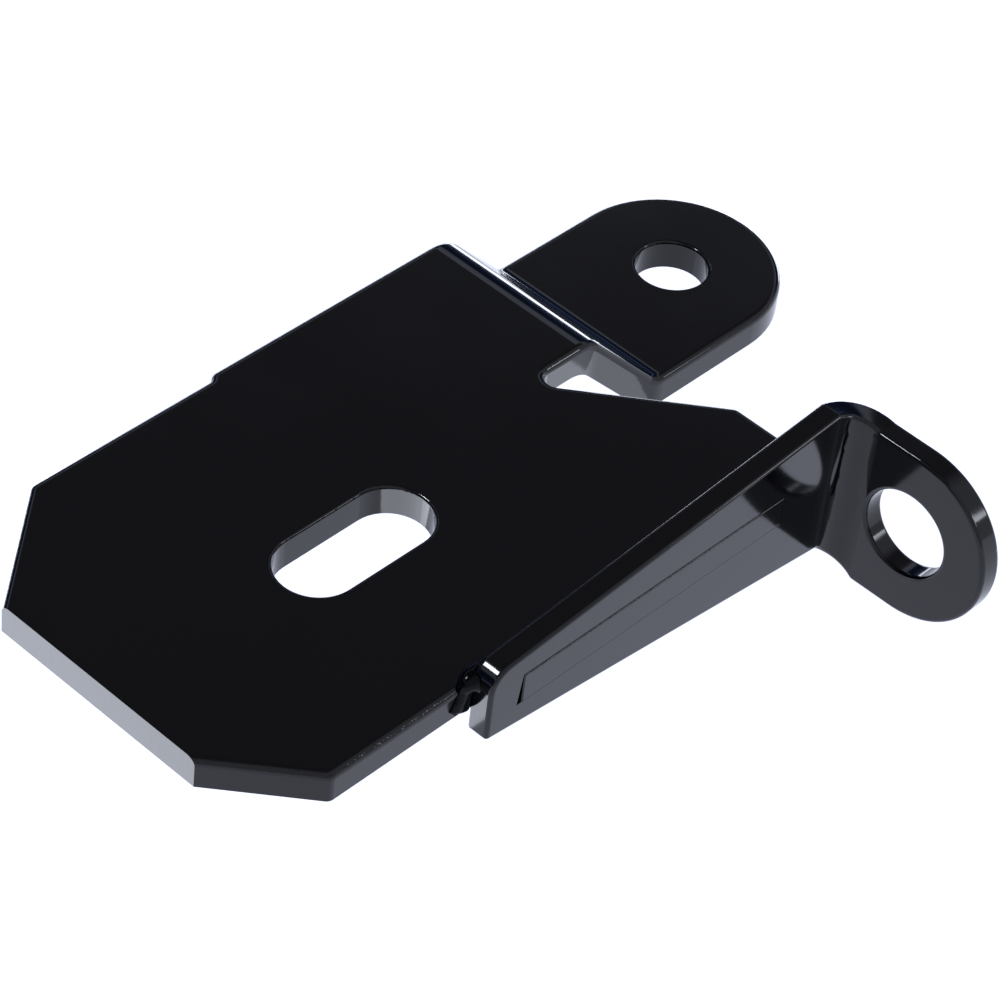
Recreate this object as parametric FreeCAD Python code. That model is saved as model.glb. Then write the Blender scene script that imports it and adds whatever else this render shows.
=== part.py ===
import FreeCAD, Part
import math
import os
from FreeCAD import Vector

# Welded steel mounting bracket: a flat plate with a stepped-down round tab, and a side
# bracket whose bent-out ear carries a second bolt hole.  All sizes are in millimetres.
# Origin: centre of the tab hole, on the underside of the tab.  X runs along the plate
# towards the tab end, Y across the plate away from the side bracket, Z up.

# ---- main plate ----------------------------------------------------------------------
plate_thickness = 4.0
tab_drop = 10.2                # how far the tab sits below the plate
tab_width = 26.8
tab_hole_diameter = 9.0        # clears an M8 bolt
plate_width = 53.3
plate_length = 83.5            # flat part, from the cut-corner end to the square end
hole_to_plate_end = 23.1       # tab hole centre back to the square end
far_edge_step = 0.8            # far edge is this much narrower towards the cut-corner end
far_step_from_end = 42.0
far_corner_cut = (14.5, 12.1)  # lengths along X and along Y
near_corner_cut = (9.0, 10.7)
corner_radius = 1.1
far_step_radius = 1.2
punched_edge_round = 0.9       # the punch rolls the upper edges over
hole_edge_round = 0.4
sharp_edge_round = 0.12        # undersides, and the sheared cut-corner end

# ---- slot in the plate ---------------------------------------------------------------
slot_width = 9.7
slot_length = 21.0
slot_from_end = 35.0           # slot centre from the cut-corner end
slot_from_near_edge = 23.2

# ---- notch that separates the tab neck from the plate --------------------------------
notch_mouth_from_near_edge = 10.5
notch_flank_angle = 50.7       # degrees from the X axis
notch_root_radius = 1.6
neck_edge_inset = 2.5          # the neck is narrower than the tab by this much
neck_blend_radius = 6.0

# ---- joggle between the plate and the tab --------------------------------------------
ramp_angle = 45.0
ramp_top_x = -27.2             # X where the planes of the plate and the ramp meet
crest_radius = 5.5             # top face radius at the upper bend
crest_inside_radius = 5.0      # the pressed bend is a little thicker than the sheet
valley_radius = 2.5            # top face radius at the lower bend
valley_outside_radius = 6.5

# ---- side bracket --------------------------------------------------------------------
arm_thickness = 3.0
arm_start = -77.4              # X of the short end of the arm
arm_rise_at_start = 2.65       # arm height above the plate top at the short end
arm_hang_at_start = 2.7        # arm depth below the plate underside at the short end
arm_top_angle = 4.9            # the arm gets taller towards the ear
arm_bottom_angle = 6.55
arm_corner_radius = 3.0
bracket_edge_round = 0.5
ear_face_x = -19.2             # X of the ear face on the arm side
ear_bend_radius = 3.2          # inside radius
ear_width = 22.6
ear_hole_diameter = 11.0       # clears an M10 bolt
ear_hole_reach = 9.0           # hole centre from the outer face of the arm
ear_hole_height = 8.05         # above the tab underside

# ---- tongue on the plate edge and the opening it fills in the arm ---------------------
tongue_start = -72.4
tongue_length = 41.8
opening_end_slant = 0.6        # the opening runs past the tongue at its lower short-end corner
tongue_proud = 0.1             # stands out of the arm's outer face
tongue_edge_round = 0.2
tongue_gap = 0.1

# ---- weld ----------------------------------------------------------------------------
seam_leg = 1.7
wrap_leg = 1.4
wrap_from_arm_end = 0.6        # centre of the wrap, out along the plate edge
seam_end_from_plate_end = 1.0
weld_inset = 0.05              # the weld's centre line runs this far in over the plate ...
weld_lift = 0.07               # ... and this far above its top

# ---- limits for picking edges and faces ----------------------------------------------
same_place = 1e-3              # lengths that differ by less than this are equal
upright_normal = 0.05          # an upright face's normal rises or falls less than this

# ---- derived positions ---------------------------------------------------------------
plate_underside = tab_drop
plate_top = tab_drop + plate_thickness
tab_half = tab_width / 2
far_y = tab_half
near_y = far_y - plate_width
plate_end_x = -hole_to_plate_end
cut_end_x = plate_end_x - plate_length
arm_outer_y = near_y - arm_thickness
ramp_foot_x = ramp_top_x + tab_drop / math.tan(math.radians(ramp_angle))
ear_hole_y = arm_outer_y - ear_hole_reach
ear_half = ear_width / 2
bend_start_x = ear_face_x - ear_bend_radius
bend_end_y = arm_outer_y - ear_bend_radius


def unit(vector):
    return vector * (1.0 / vector.Length)


def rounded_wire(corners):
    """Closed wire through (point, radius) corners; radius 0 keeps the corner sharp."""
    count = len(corners)
    ends = []
    for index, (corner, radius) in enumerate(corners):
        before = unit(corners[index - 1][0] - corner)
        after = unit(corners[(index + 1) % count][0] - corner)
        if radius == 0:
            ends.append((corner, None, corner))
            continue
        half_angle = before.getAngle(after) / 2
        setback = radius / math.tan(half_angle)
        middle = unit(before + after)
        centre = corner + middle * (radius / math.sin(half_angle))
        arc_middle = centre - middle * radius
        ends.append((corner + before * setback, arc_middle, corner + after * setback))
    edges = []
    for index, (arc_start, arc_middle, arc_end) in enumerate(ends):
        if arc_middle is not None:
            edges.append(Part.Arc(arc_start, arc_middle, arc_end).toShape())
        next_start = ends[(index + 1) % count][0]
        if arc_end.distanceToPoint(next_start) > same_place:
            edges.append(Part.makeLine(arc_end, next_start))
    return Part.Wire(edges)


def prism(corners, direction):
    return Part.Face(rounded_wire(corners)).extrude(direction)


def middle_of(edge):
    return edge.valueAt((edge.FirstParameter + edge.LastParameter) / 2)


def normal_at(face, point):
    return face.normalAt(*face.Surface.parameter(point))


def is_wall(face, point):
    """True when the face stands upright at the point."""
    return abs(normal_at(face, point).z) < upright_normal


def rim_edges(shape, side):
    """Edges between an upright wall and the top (side 1) or the underside (side -1)."""
    rims = []
    for edge in shape.Edges:
        middle = middle_of(edge)
        faces = shape.ancestorsOfType(edge, Part.Face)
        sheet_faces = [face for face in faces if not is_wall(face, middle)]
        if len(faces) == 2 and len(sheet_faces) == 1:
            sheet_face = sheet_faces[0]
            if normal_at(sheet_face, middle).z * side > 0:
                rims.append(edge)
    return rims


def edges_at_y(edges, y):
    """Edges that lie wholly in the plane at this Y."""
    found = []
    for edge in edges:
        box = edge.BoundBox
        if max(abs(box.YMin - y), abs(box.YMax - y)) < same_place:
            found.append(edge)
    return found


def plate_outline():
    """Plan view of the plate, neck and tab."""
    mouth_y = near_y + notch_mouth_from_near_edge
    neck_y = -tab_half + neck_edge_inset
    flank_run = (neck_y - mouth_y) / math.tan(math.radians(notch_flank_angle))
    step_x = cut_end_x + far_step_from_end
    cut_end_far_y = far_y - far_edge_step
    sharp = 0
    points = [
        (cut_end_x + near_corner_cut[0], near_y, corner_radius),
        (plate_end_x, near_y, sharp),
        (plate_end_x, mouth_y, corner_radius),
        (plate_end_x - flank_run, neck_y, notch_root_radius),
        (ramp_top_x, neck_y, neck_blend_radius),
        (ramp_foot_x, -tab_half, neck_blend_radius),
        (tab_half, -tab_half, tab_half),
        (tab_half, far_y, tab_half),
        (step_x, far_y, far_step_radius),
        (step_x - far_edge_step, cut_end_far_y, far_step_radius),
        (cut_end_x + far_corner_cut[0], cut_end_far_y, corner_radius),
        (cut_end_x, cut_end_far_y - far_corner_cut[1], sharp),
        (cut_end_x, near_y + near_corner_cut[1], sharp),
    ]
    return [(Vector(x, y, 0), radius) for x, y, radius in points]


def joggle_section():
    """Side view of the sheet: flat plate, ramp down, flat tab."""
    corner_shift = plate_thickness * math.tan(math.radians(ramp_angle) / 2)
    sharp = 0
    points = [
        (cut_end_x, plate_top, sharp),
        (ramp_top_x, plate_top, crest_radius),
        (ramp_foot_x, plate_thickness, valley_radius),
        (tab_half, plate_thickness, sharp),
        (tab_half, 0, sharp),
        (ramp_foot_x - corner_shift, 0, valley_outside_radius),
        (ramp_top_x - corner_shift, plate_underside, crest_inside_radius),
        (cut_end_x, plate_underside, sharp),
    ]
    return [(Vector(x, 0, z), radius) for x, z, radius in points]


def slot_centre():
    return Vector(cut_end_x + slot_from_end, near_y + slot_from_near_edge, 0)


def slot_cutter():
    half_length = slot_length / 2
    half_width = slot_width / 2
    ends = [(-half_length, -half_width), (half_length, -half_width),
            (half_length, half_width), (-half_length, half_width)]
    corners = [(slot_centre() + Vector(x, y, 0), half_width) for x, y in ends]
    return prism(corners, Vector(0, 0, 2 * plate_top))


def sheet_blank():
    """Sheet that is joggled on the tab side of the notch and flat on the arm side of it."""
    split_y = -tab_half - neck_edge_inset
    joggled = prism(joggle_section(), Vector(0, far_y - split_y, 0))
    joggled.translate(Vector(0, split_y, 0))
    flat = Part.makeBox(plate_length, split_y - near_y, plate_thickness,
                        Vector(cut_end_x, near_y, plate_underside))
    return joggled.fuse(flat).removeSplitter()


def tongue(margin, reach, end_slant):
    """Tongue that goes through the arm; with a margin, the cutter for its opening."""
    low_z = plate_underside - margin
    high_z = plate_top + margin
    start_x = tongue_start - margin
    end_x = tongue_start + tongue_length + margin
    corners = [
        (Vector(start_x - end_slant, near_y, low_z), 0),
        (Vector(end_x, near_y, low_z), 0),
        (Vector(end_x, near_y, high_z), 0),
        (Vector(start_x, near_y, high_z), 0),
    ]
    return prism(corners, Vector(0, -reach, 0))


def edges_within(edges, centre, reach):
    return [edge for edge in edges if math.dist(middle_of(edge)[:2], centre[:2]) < reach]


def main_plate():
    plate = sheet_blank().common(prism(plate_outline(), Vector(0, 0, plate_top)))
    upper = rim_edges(plate, 1)
    sheared = [edge for edge in upper if middle_of(edge).x < cut_end_x + same_place]
    punched = [edge for edge in upper if middle_of(edge).x > cut_end_x + same_place]
    plate = plate.makeFillet(punched_edge_round, punched)
    plate = plate.makeFillet(sharp_edge_round, rim_edges(plate, -1))
    tab_hole = Part.makeCylinder(tab_hole_diameter / 2, plate_thickness)
    plate = plate.cut(slot_cutter()).cut(tab_hole)
    in_slot = edges_within(rim_edges(plate, 1), slot_centre(), slot_length / 2 + same_place)
    in_hole = edges_within(rim_edges(plate, 1), Vector(), tab_hole_diameter / 2 + same_place)
    plate = plate.makeFillet(hole_edge_round, in_slot + in_hole)
    blunt_tongue = tongue(0, arm_thickness + tongue_proud, 0)
    face_edges = edges_at_y(blunt_tongue.Edges, arm_outer_y - tongue_proud)
    return plate.fuse(blunt_tongue.makeFillet(tongue_edge_round, face_edges))


def arm_top_at(x):
    rise = (x - arm_start) * math.tan(math.radians(arm_top_angle))
    return plate_top + arm_rise_at_start + rise


def arm_bottom_at(x):
    fall = (x - arm_start) * math.tan(math.radians(arm_bottom_angle))
    return plate_underside - arm_hang_at_start - fall


def arm_blank():
    """Straight part of the side bracket, standing on edge beside the plate."""
    corners = [
        (Vector(arm_start, near_y, arm_bottom_at(arm_start)), 0),
        (Vector(bend_start_x, near_y, arm_bottom_at(bend_start_x)), 0),
        (Vector(bend_start_x, near_y, arm_top_at(bend_start_x)), 0),
        (Vector(arm_start, near_y, arm_top_at(arm_start)), arm_corner_radius),
    ]
    return prism(corners, Vector(0, -arm_thickness, 0))


def ear_bend():
    """Quarter turn that joins the arm to the ear; its edges run from one to the other."""
    outer_radius = ear_bend_radius + arm_thickness
    centre = Vector(bend_start_x, bend_end_y, 0)
    quarter = math.pi / 2
    arm_ends = (arm_bottom_at(bend_start_x), arm_top_at(bend_start_x))
    ear_ends = (ear_hole_height - ear_half, ear_hole_height + ear_half)

    def outwards(turn):
        return Vector(math.sin(turn), math.cos(turn), 0)

    def section(turn, ends):
        low, high = [Vector(0, 0, end) for end in ends]
        inside = centre + outwards(turn) * ear_bend_radius
        outside = centre + outwards(turn) * outer_radius
        return Part.makePolygon([inside + low, outside + low, outside + high, inside + high,
                                 inside + low])

    spine_points = [centre + outwards(turn) * ear_bend_radius for turn in (0, quarter / 2, quarter)]
    spine = Part.Wire([Part.Arc(*spine_points).toShape()])
    return spine.makePipeShell([section(0, arm_ends), section(quarter, ear_ends)], True, False)


def ear_blank():
    """Round-ended ear, square to the arm."""
    bottom = ear_hole_height - ear_half
    top = ear_hole_height + ear_half
    tip_y = ear_hole_y - ear_half
    corners = [
        (Vector(ear_face_x, bend_end_y, bottom), 0),
        (Vector(ear_face_x, bend_end_y, top), 0),
        (Vector(ear_face_x, tip_y, top), ear_half),
        (Vector(ear_face_x, tip_y, bottom), ear_half),
    ]
    ear = prism(corners, Vector(arm_thickness, 0, 0))
    hole = Part.makeCylinder(ear_hole_diameter / 2, arm_thickness,
                             Vector(ear_face_x, ear_hole_y, ear_hole_height), Vector(1, 0, 0))
    return ear.cut(hole)


def side_bracket():
    body = arm_blank().fuse(ear_bend()).fuse(ear_blank()).removeSplitter()
    body = body.makeFillet(bracket_edge_round, body.Edges)
    return body.cut(tongue(tongue_gap, arm_thickness, opening_end_slant))


def weld_bead(neighbours):
    """Weld along the inside top corner, wrapped round the short end of the arm."""
    seam_start = Vector(arm_start, near_y + weld_inset, plate_top + weld_lift)
    seam_length = plate_end_x - seam_end_from_plate_end - arm_start
    seam = Part.makeCylinder(seam_leg, seam_length, seam_start, Vector(1, 0, 0))
    wrap_top = seam_start - Vector(wrap_from_arm_end, 0, 0)
    turn = Part.makeSphere(wrap_leg, wrap_top)
    wrap = Part.makeCylinder(wrap_leg, plate_thickness + weld_lift, wrap_top, Vector(0, 0, -1))
    first, *others = [run.cut(neighbours) for run in (seam, turn, wrap)]
    return first.fuse(others)


def only_solid(shape):
    """The single solid of a shape; stops when there is more than one."""
    solids = shape.Solids
    if len(solids) != 1:
        raise ValueError("expected one solid, found %d" % len(solids))
    return solids[0]


def main():
    os.makedirs("parts", exist_ok=True)
    plate = only_solid(main_plate())
    bracket = only_solid(side_bracket())
    weld = weld_bead([plate, bracket])
    nodes = {"main_plate": plate, "side_bracket": bracket, "weld_bead": weld}
    for name, shape in nodes.items():
        print(name, shape.isValid(), len(shape.Solids), round(shape.Volume, 1), shape.BoundBox)
        shape.exportStep("parts/%s.step" % name)


main()
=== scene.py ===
import math

import bmesh
import bpy
from mathutils import Matrix, Vector, noise


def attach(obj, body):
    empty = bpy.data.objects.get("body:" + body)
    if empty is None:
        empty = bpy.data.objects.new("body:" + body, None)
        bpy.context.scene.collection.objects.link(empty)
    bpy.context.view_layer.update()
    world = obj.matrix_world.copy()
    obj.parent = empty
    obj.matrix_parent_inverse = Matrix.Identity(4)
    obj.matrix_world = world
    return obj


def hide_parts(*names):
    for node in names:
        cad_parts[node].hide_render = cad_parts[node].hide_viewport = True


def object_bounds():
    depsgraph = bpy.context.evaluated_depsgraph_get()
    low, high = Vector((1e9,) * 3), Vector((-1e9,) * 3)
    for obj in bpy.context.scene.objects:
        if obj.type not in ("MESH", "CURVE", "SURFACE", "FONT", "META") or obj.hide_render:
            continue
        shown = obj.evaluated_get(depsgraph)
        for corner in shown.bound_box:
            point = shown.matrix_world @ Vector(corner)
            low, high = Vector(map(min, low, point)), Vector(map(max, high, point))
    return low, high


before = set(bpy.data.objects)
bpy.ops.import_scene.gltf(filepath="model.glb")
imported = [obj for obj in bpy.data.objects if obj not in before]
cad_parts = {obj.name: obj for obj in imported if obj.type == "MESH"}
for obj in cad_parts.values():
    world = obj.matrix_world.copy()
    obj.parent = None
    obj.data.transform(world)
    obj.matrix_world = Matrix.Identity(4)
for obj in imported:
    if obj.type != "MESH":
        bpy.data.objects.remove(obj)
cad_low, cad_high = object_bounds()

MM = 0.001

# ---- camera (place and clipping in metres, lens and sensor in mm) --------------------
CAMERA_PLACE = Vector((-300.97, -223.11, 306.18)) * MM
CAMERA_AZIMUTH = math.radians(-50.805)
CAMERA_ELEVATION = math.radians(42.611)
CAMERA_ROLL = math.radians(7.001)
CAMERA_LENS = 141.816
CAMERA_SENSOR = 36
CAMERA_CLIP = (0.01, 20)

# ---- places on the part (metres) -----------------------------------------------------
PLATE_TOP = 14.2 * MM
PLATE_UNDERSIDE = 10.2 * MM
PLATE_NEAR_Y = -39.9 * MM    # the edge that carries the arm
FLAT_END_X = -32.0 * MM      # where the neck starts to bend down
ARM_START_X = -77.4 * MM     # the arm's short end
SEAM_END_X = -24.4 * MM      # the weld's far end
PART_MIDDLE = Vector((-0.05, -0.02, 0.01))

# ---- coat (noise scales per metre, bump depths in metres) ----------------------------
COAT_DARK = (0.0018, 0.0019, 0.0028, 1)
COAT_LIGHT = (0.0030, 0.0030, 0.0038, 1)
COAT_ROUGHNESS = (0.08, 0.12)
COAT_IOR = 1.42
CLOUD_SCALE = 60
WAVE_SCALE, WAVE_DEPTH = 120, 0.016 * MM
PEEL_SCALE, PEEL_DEPTH = 900, 0.0022 * MM
GRAIN_SCALE, GRAIN_DEPTH = 1500, 0.006 * MM
GRAIN_STRETCH = (1.0, 1.0, 0.35)
GRIT_SCALE, GRIT_DEPTH = 2600, 0.012 * MM
GRIT_CUT = (0.52, 0.75)
DUST_SCALE = 3800
DUST_CUT = (0.77, 0.82)
DUST_COLOUR = (0.02, 0.021, 0.024, 1)
NOISE_MIDDLE = (0.3, 0.7)    # the range that most noise values fall in

# how much a surface faces up: 0 on a wall, 1 on the plate's top
ON_WALL = (0.5, 0.2)
LEAVING_WALL = (0.10, 0.40)
REACHING_TOP = (0.97, 0.75)

# ---- weld (metres) -------------------------------------------------------------------
WELD_DARK = (0.0010, 0.0024, 0.0034, 1)
WELD_LIGHT = (0.0030, 0.0040, 0.0050, 1)
WELD_ROUGHNESS = (0.06, 0.14)
WELD_IOR = 1.2
WELD_LUMP_SCALE, WELD_LUMP_DEPTH = 700, 0.05 * MM
WELD_PIT_SCALE, WELD_PIT_DEPTH = 2400, 0.012 * MM

SEAM_Y = PLATE_NEAR_Y + 0.05 * MM
SEAM_Z = PLATE_TOP + 0.07 * MM
SEAM_RADIUS = 1.35 * MM
END_SWELL = 0.15 * MM        # added to the seam's radius at the arm's end
SWELL_REACH = 4.0 * MM
RIPPLE_HEIGHT = 0.04 * MM
RIPPLE_PITCH = 1.5 * MM
RING_STEP = 0.25 * MM
TURN_RADIUS = 0.7 * MM
TURN_STEPS = 6
DROP_HALF_DEPTH = 0.75 * MM
DROP_TOP_HALF_WIDTH = 1.0 * MM
DROP_FOOT_HALF_WIDTH = 1.6 * MM
DROP_FOOT_Z = PLATE_UNDERSIDE + 0.9 * MM
DROP_LEAN = 0.7 * MM
DROP_STEPS = 12
TIP_LENGTH = 0.7 * MM
RING_SIDES = 24
SHAPE_LUMP = 0.08            # share of the radius
SHAPE_LUMP_SCALE = 900       # per metre

# ---- surroundings (metres) -----------------------------------------------------------
FLOOR_HALF_SIZE = 3.0
FLOOR_COLOUR = (0.80, 0.84, 1.0, 1)
FLOOR_ROUGHNESS = 0.8
FLOOR_GLOW = 1.26
LAMP_COLOUR = (0.86, 0.90, 1.0)
PANEL_LIFT = 0.2 * MM
FRONT_WALL_COLOUR = (0.62, 0.64, 0.74, 1)
FRONT_WALL_START = (0.0, -0.35)
# the other walls: height of the view direction (0 is level, 1 straight up) and colour
WALL_BANDS = [
    (0.00, (0.10, 0.16, 0.34)),
    (0.25, (0.03, 0.05, 0.12)),
    (0.42, (0.03, 0.05, 0.12)),
    (0.48, (0.60, 0.68, 0.90)),
    (0.55, (0.75, 0.80, 0.95)),
    (0.61, (0.22, 0.23, 0.27)),
    (0.65, (0.16, 0.16, 0.20)),
    (1.00, (0.18, 0.18, 0.22)),
]


def add_camera():
    """Long lens, looking down on the plate from the cut-corner end."""
    azimuth, elevation = CAMERA_AZIMUTH, CAMERA_ELEVATION
    back = Vector((math.sin(azimuth) * math.cos(elevation),
                   -math.cos(azimuth) * math.cos(elevation),
                   math.sin(elevation)))
    level = Vector((math.cos(azimuth), math.sin(azimuth), 0))
    upright = back.cross(level)
    right = level * math.cos(CAMERA_ROLL) + upright * math.sin(CAMERA_ROLL)
    up = back.cross(right)
    data = bpy.data.cameras.new("camera")
    data.lens = CAMERA_LENS
    data.sensor_width = CAMERA_SENSOR
    data.clip_start, data.clip_end = CAMERA_CLIP
    camera = bpy.data.objects.new("camera", data)
    turn = Matrix((right, up, back)).transposed().to_4x4()
    camera.matrix_world = Matrix.Translation(CAMERA_PLACE) @ turn
    bpy.context.scene.collection.objects.link(camera)
    bpy.context.scene.camera = camera


# ---- node helpers --------------------------------------------------------------------
class Nodes:
    """A node tree with short calls for adding nodes and joining them."""

    # the mix node's colour sockets share their names with its other sockets
    MIX_FIRST, MIX_SECOND, MIX_RESULT = 6, 7, 2

    def __init__(self, tree):
        self.tree = tree

    def add(self, kind, **settings):
        node = self.tree.nodes.new(kind)
        for name, value in settings.items():
            setattr(node, name, value)
        return node

    def feed(self, socket, source):
        """Joins a socket to another, or sets its value."""
        if isinstance(source, bpy.types.NodeSocket):
            self.tree.links.new(source, socket)
        else:
            socket.default_value = source

    def math(self, operation, first, second=0.0):
        node = self.add("ShaderNodeMath", operation=operation)
        self.feed(node.inputs[0], first)
        self.feed(node.inputs[1], second)
        return node.outputs[0]

    def noise(self, place, scale, detail=2.0, roughness=0.5):
        node = self.add("ShaderNodeTexNoise")
        self.feed(node.inputs["Vector"], place)
        node.inputs["Scale"].default_value = scale
        node.inputs["Detail"].default_value = detail
        node.inputs["Roughness"].default_value = roughness
        return node.outputs["Fac"]

    def stretch(self, place, factors):
        node = self.add("ShaderNodeVectorMath", operation="MULTIPLY")
        self.feed(node.inputs[0], place)
        node.inputs[1].default_value = factors
        return node.outputs[0]

    def axes(self, vector):
        node = self.add("ShaderNodeSeparateXYZ")
        self.feed(node.inputs[0], vector)
        return node.outputs

    def ranged(self, value, from_range, to_range=(0.0, 1.0)):
        """Smooth step between two values.  The from range may run backwards."""
        node = self.add("ShaderNodeMapRange")
        node.interpolation_type = "SMOOTHSTEP"
        self.feed(node.inputs["Value"], value)
        limits = (*from_range, *to_range)
        for socket, limit in zip(("From Min", "From Max", "To Min", "To Max"), limits):
            node.inputs[socket].default_value = limit
        return node.outputs["Result"]

    def bump(self, height, distance, below=None):
        node = self.add("ShaderNodeBump")
        node.inputs["Strength"].default_value = 1.0
        node.inputs["Distance"].default_value = distance
        self.feed(node.inputs["Height"], height)
        if below is not None:
            self.feed(node.inputs["Normal"], below)
        return node.outputs["Normal"]

    def blend(self, factor, first, second):
        node = self.add("ShaderNodeMix", data_type="RGBA")
        self.feed(node.inputs["Factor"], factor)
        self.feed(node.inputs[self.MIX_FIRST], first)
        self.feed(node.inputs[self.MIX_SECOND], second)
        return node.outputs[self.MIX_RESULT]


def new_material(name):
    material = bpy.data.materials.new(name)
    material.use_nodes = True
    return material, Nodes(material.node_tree), material.node_tree.nodes["Principled BSDF"]


# ---- materials -----------------------------------------------------------------------
def coat_material(name, cut_walls):
    """Glossy black coat: slow waves, orange peel, dust specks and, on punched plate,
    softened grain on the cut walls with grit along their rims."""
    material, nodes, shader = new_material(name)
    geometry = nodes.add("ShaderNodeNewGeometry")
    place = geometry.outputs["Position"]

    normal = nodes.bump(nodes.noise(place, WAVE_SCALE, detail=1.0), WAVE_DEPTH)
    normal = nodes.bump(nodes.noise(place, PEEL_SCALE, detail=1.5), PEEL_DEPTH, normal)
    if cut_walls:
        facing_up = nodes.math("ABSOLUTE", nodes.axes(geometry.outputs["True Normal"])["Z"])
        grain = nodes.noise(nodes.stretch(place, GRAIN_STRETCH), GRAIN_SCALE,
                            detail=3.0, roughness=0.6)
        wall_grain = nodes.math("MULTIPLY", grain, nodes.ranged(facing_up, ON_WALL))
        normal = nodes.bump(wall_grain, GRAIN_DEPTH, normal)
        normal = nodes.bump(rim_grit(nodes, place, facing_up), GRIT_DEPTH, normal)
    nodes.feed(shader.inputs["Normal"], normal)

    cloud = nodes.noise(place, CLOUD_SCALE, detail=3.0)
    specks = nodes.ranged(nodes.noise(place, DUST_SCALE, detail=1.0), DUST_CUT)
    colour = nodes.blend(specks, nodes.blend(cloud, COAT_DARK, COAT_LIGHT), DUST_COLOUR)
    nodes.feed(shader.inputs["Base Color"], colour)
    nodes.feed(shader.inputs["Roughness"], nodes.ranged(cloud, NOISE_MIDDLE, COAT_ROUGHNESS))
    shader.inputs["IOR"].default_value = COAT_IOR
    return material


def rim_grit(nodes, place, facing_up):
    """Small lumps where a punched wall rolls over into the flat part's top."""
    on_rim = nodes.math("MULTIPLY", nodes.ranged(facing_up, LEAVING_WALL),
                        nodes.ranged(facing_up, REACHING_TOP))
    before_bend = nodes.ranged(nodes.axes(place)["X"], (FLAT_END_X, FLAT_END_X - 1 * MM))
    lumps = nodes.ranged(nodes.noise(place, GRIT_SCALE), GRIT_CUT)
    return nodes.math("MULTIPLY", lumps, nodes.math("MULTIPLY", on_rim, before_bend))


def weld_material():
    """The coat over the weld: lumpy and pitted, with a faint blue-green tint."""
    material, nodes, shader = new_material("weld_coat")
    place = nodes.add("ShaderNodeNewGeometry").outputs["Position"]
    lumps = nodes.noise(place, WELD_LUMP_SCALE)
    pits = nodes.noise(place, WELD_PIT_SCALE)
    normal = nodes.bump(lumps, WELD_LUMP_DEPTH)
    nodes.feed(shader.inputs["Normal"], nodes.bump(pits, WELD_PIT_DEPTH, normal))
    nodes.feed(shader.inputs["Base Color"], nodes.blend(lumps, WELD_DARK, WELD_LIGHT))
    nodes.feed(shader.inputs["Roughness"], nodes.ranged(pits, NOISE_MIDDLE, WELD_ROUGHNESS))
    shader.inputs["IOR"].default_value = WELD_IOR
    return material


def floor_material():
    """Plain white table, lit evenly from below.  Seen from underneath it is clear."""
    material, nodes, shader = new_material("floor_white")
    shader.inputs["Base Color"].default_value = FLOOR_COLOUR
    shader.inputs["Roughness"].default_value = FLOOR_ROUGHNESS
    shader.inputs["Emission Color"].default_value = FLOOR_COLOUR
    shader.inputs["Emission Strength"].default_value = FLOOR_GLOW
    side = nodes.add("ShaderNodeMixShader")
    nodes.feed(side.inputs[0], nodes.add("ShaderNodeNewGeometry").outputs["Backfacing"])
    nodes.feed(side.inputs[1], shader.outputs[0])
    nodes.feed(side.inputs[2], nodes.add("ShaderNodeBsdfTransparent").outputs[0])
    nodes.feed(material.node_tree.nodes["Material Output"].inputs["Surface"], side.outputs[0])
    return material


# ---- weld ----------------------------------------------------------------------------
def weld_path():
    """Centre and the two half widths of each ring: along the seam from its far end, over
    the arm's end, then down the plate's edge as a drop that widens to its foot."""
    line = []
    x = SEAM_END_X
    while x > ARM_START_X:
        swell = max(0.0, 1 - (x - ARM_START_X) / SWELL_REACH)
        ripple = math.sin(2 * math.pi * x / RIPPLE_PITCH)
        radius = SEAM_RADIUS + END_SWELL * swell + RIPPLE_HEIGHT * ripple
        line.append((Vector((x, SEAM_Y, SEAM_Z)), radius, radius))
        x -= RING_STEP
    end_radius = SEAM_RADIUS + END_SWELL
    for index in range(TURN_STEPS + 1):
        share = index / TURN_STEPS
        angle = math.pi / 2 * share
        place = Vector((ARM_START_X - TURN_RADIUS * math.sin(angle), SEAM_Y,
                        SEAM_Z - TURN_RADIUS * (1 - math.cos(angle))))
        half_depth = end_radius + (DROP_HALF_DEPTH - end_radius) * share
        half_width = end_radius + (DROP_TOP_HALF_WIDTH - end_radius) * share
        line.append((place, half_depth, half_width))
    top = line[-1][0]
    for index in range(1, DROP_STEPS + 1):
        share = index / DROP_STEPS
        place = Vector((top.x - DROP_LEAN * share, SEAM_Y,
                        top.z + (DROP_FOOT_Z - top.z) * share))
        widening = (DROP_FOOT_HALF_WIDTH - DROP_TOP_HALF_WIDTH) * share
        line.append((place, DROP_HALF_DEPTH, DROP_TOP_HALF_WIDTH + widening))
    return line


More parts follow.
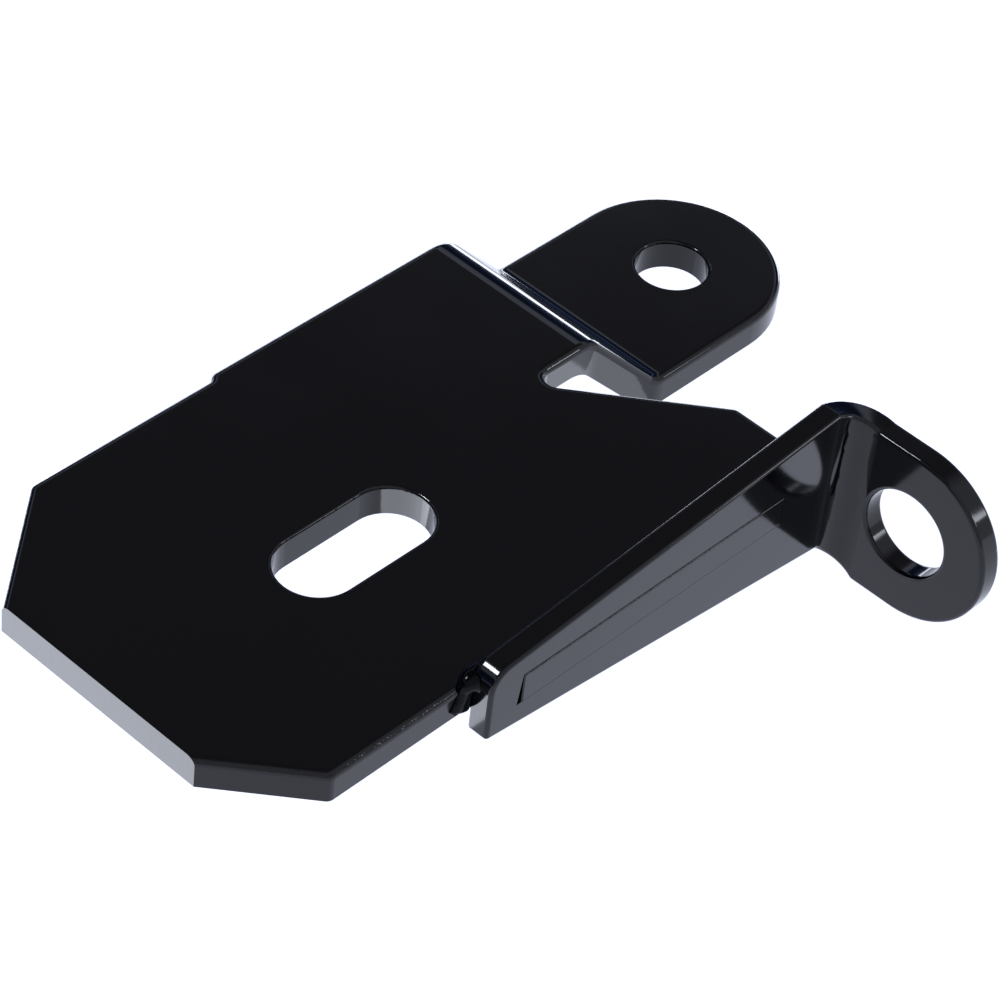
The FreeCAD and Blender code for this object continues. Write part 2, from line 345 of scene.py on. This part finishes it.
def weld_mesh():
    """Closed, lumpy tube along the weld path."""
    line = weld_path()
    mesh = bmesh.new()
    rings = []
    for index, (centre, half_depth, half_width) in enumerate(line):
        before = line[max(index - 1, 0)][0]
        after = line[min(index + 1, len(line) - 1)][0]
        along = (after - before).normalized()
        side = Vector((0, 1, 0))
        up = along.cross(side)
        ring = []
        for turn in range(RING_SIDES):
            angle = 2 * math.pi * turn / RING_SIDES
            outwards = side * math.cos(angle) * half_depth + up * math.sin(angle) * half_width
            lump = 1 + SHAPE_LUMP * noise.noise((centre + outwards) * SHAPE_LUMP_SCALE)
            ring.append(mesh.verts.new(centre + outwards * lump))
        rings.append(ring)
    for first, second in zip(rings, rings[1:]):
        for turn in range(RING_SIDES):
            other = (turn + 1) % RING_SIDES
            mesh.faces.new((first[turn], first[other], second[other], second[turn]))
    far_tip = line[0][0] + Vector((TIP_LENGTH, 0, 0))
    foot_tip = line[-1][0] - Vector((0, 0, TIP_LENGTH))
    for ring, tip_place in ((rings[0], far_tip), (rings[-1], foot_tip)):
        tip = mesh.verts.new(tip_place)
        for turn in range(RING_SIDES):
            mesh.faces.new((ring[turn], ring[(turn + 1) % RING_SIDES], tip))
    bmesh.ops.recalc_face_normals(mesh, faces=mesh.faces)
    for face in mesh.faces:
        face.smooth = True
    data = bpy.data.meshes.new("weld")
    mesh.to_mesh(data)
    mesh.free()
    return data


def add_weld(coat):
    """The uneven bead, sunk into the corner it fills, in place of the plain CAD one."""
    weld = bpy.data.objects.new("weld", weld_mesh())
    weld.data.materials.append(coat)
    bpy.context.scene.collection.objects.link(weld)
    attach(weld, "root")
    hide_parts("weld_bead")


# ---- surroundings --------------------------------------------------------------------
def add_floor(height):
    half = FLOOR_HALF_SIZE
    corners = [(-half, -half, height), (half, -half, height),
               (half, half, height), (-half, half, height)]
    mesh = bpy.data.meshes.new("floor")
    mesh.from_pydata(corners, [], [(0, 1, 2, 3)])
    mesh.materials.append(floor_material())
    floor = bpy.data.objects.new("floor", mesh)
    bpy.context.scene.collection.objects.link(floor)


def add_softbox(name, place, aim, size, radiance, shape="RECTANGLE"):
    """Soft lamp at a place, turned towards its aim.  Only the glossy coat shows it."""
    width, height = size
    data = bpy.data.lights.new(name, "AREA")
    data.shape = shape
    data.size, data.size_y = width, height
    data.energy = radiance * math.pi * width * height
    data.color = LAMP_COLOUR
    light = bpy.data.objects.new(name, data)
    light.location = Vector(place)
    light.rotation_mode = "QUATERNION"
    light.rotation_quaternion = (Vector(place) - aim).to_track_quat("Z", "Y")
    light.visible_camera = False
    light.visible_diffuse = False
    bpy.context.scene.collection.objects.link(light)


def add_table_panel(name, middle, size, radiance):
    """Flat lamp lying on the table, facing up, for the part's upright faces to show."""
    place = Vector((*middle, cad_low.z + PANEL_LIFT))
    add_softbox(name, place, place + Vector((0, 0, 1)), size, radiance)


def add_lights():
    add_table_panel("left_panel", middle=(-0.118, 0.033), size=(0.100, 0.134), radiance=4.1)
    add_table_panel("neck_panel", middle=(-0.027, -0.022), size=(0.022, 0.018), radiance=1.6)
    add_table_panel("right_panel", middle=(0.17, 0.12), size=(0.28, 0.26), radiance=6)
    add_softbox("left_back", place=(-0.40, 0.31, 0.51), aim=PART_MIDDLE,
                size=(0.18, 0.18), radiance=45, shape="ELLIPSE")
    add_softbox("front_right", place=(0.35, -0.52, 0.26), aim=PART_MIDDLE,
                size=(0.12, 0.12), radiance=9)


def set_world():
    """Studio walls, seen only in the gloss and through the floor from underneath: a dark
    blue belt, a bright band above it, dim grey overhead, and a light wall in front."""
    world = bpy.data.worlds.new("studio")
    world.use_nodes = True
    nodes = Nodes(world.node_tree)
    direction = nodes.axes(nodes.add("ShaderNodeTexCoord").outputs["Generated"])
    ramp = nodes.add("ShaderNodeValToRGB")
    nodes.feed(ramp.inputs["Fac"], direction["Z"])
    elements = ramp.color_ramp.elements
    while len(elements) < len(WALL_BANDS):
        elements.new(0.5)
    for element, (height, colour) in zip(elements, WALL_BANDS):
        element.position = height
        element.color = (*colour, 1)
    in_front = nodes.ranged(direction["Y"], FRONT_WALL_START)
    colour = nodes.blend(in_front, ramp.outputs["Color"], FRONT_WALL_COLOUR)
    nodes.feed(world.node_tree.nodes["Background"].inputs["Color"], colour)
    world.cycles_visibility.diffuse = False
    bpy.context.scene.world = world
    bpy.context.scene.view_settings.view_transform = "Standard"


# ---- scene ---------------------------------------------------------------------------
coats = {
    "main_plate": coat_material("plate_coat", cut_walls=True),
    "side_bracket": coat_material("bracket_coat", cut_walls=False),
    "weld_bead": weld_material(),
}
for name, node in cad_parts.items():
    node.data.materials.clear()
    node.data.materials.append(coats[name])
add_weld(coats["weld_bead"])

add_floor(cad_low.z)
add_lights()
set_world()
add_camera()
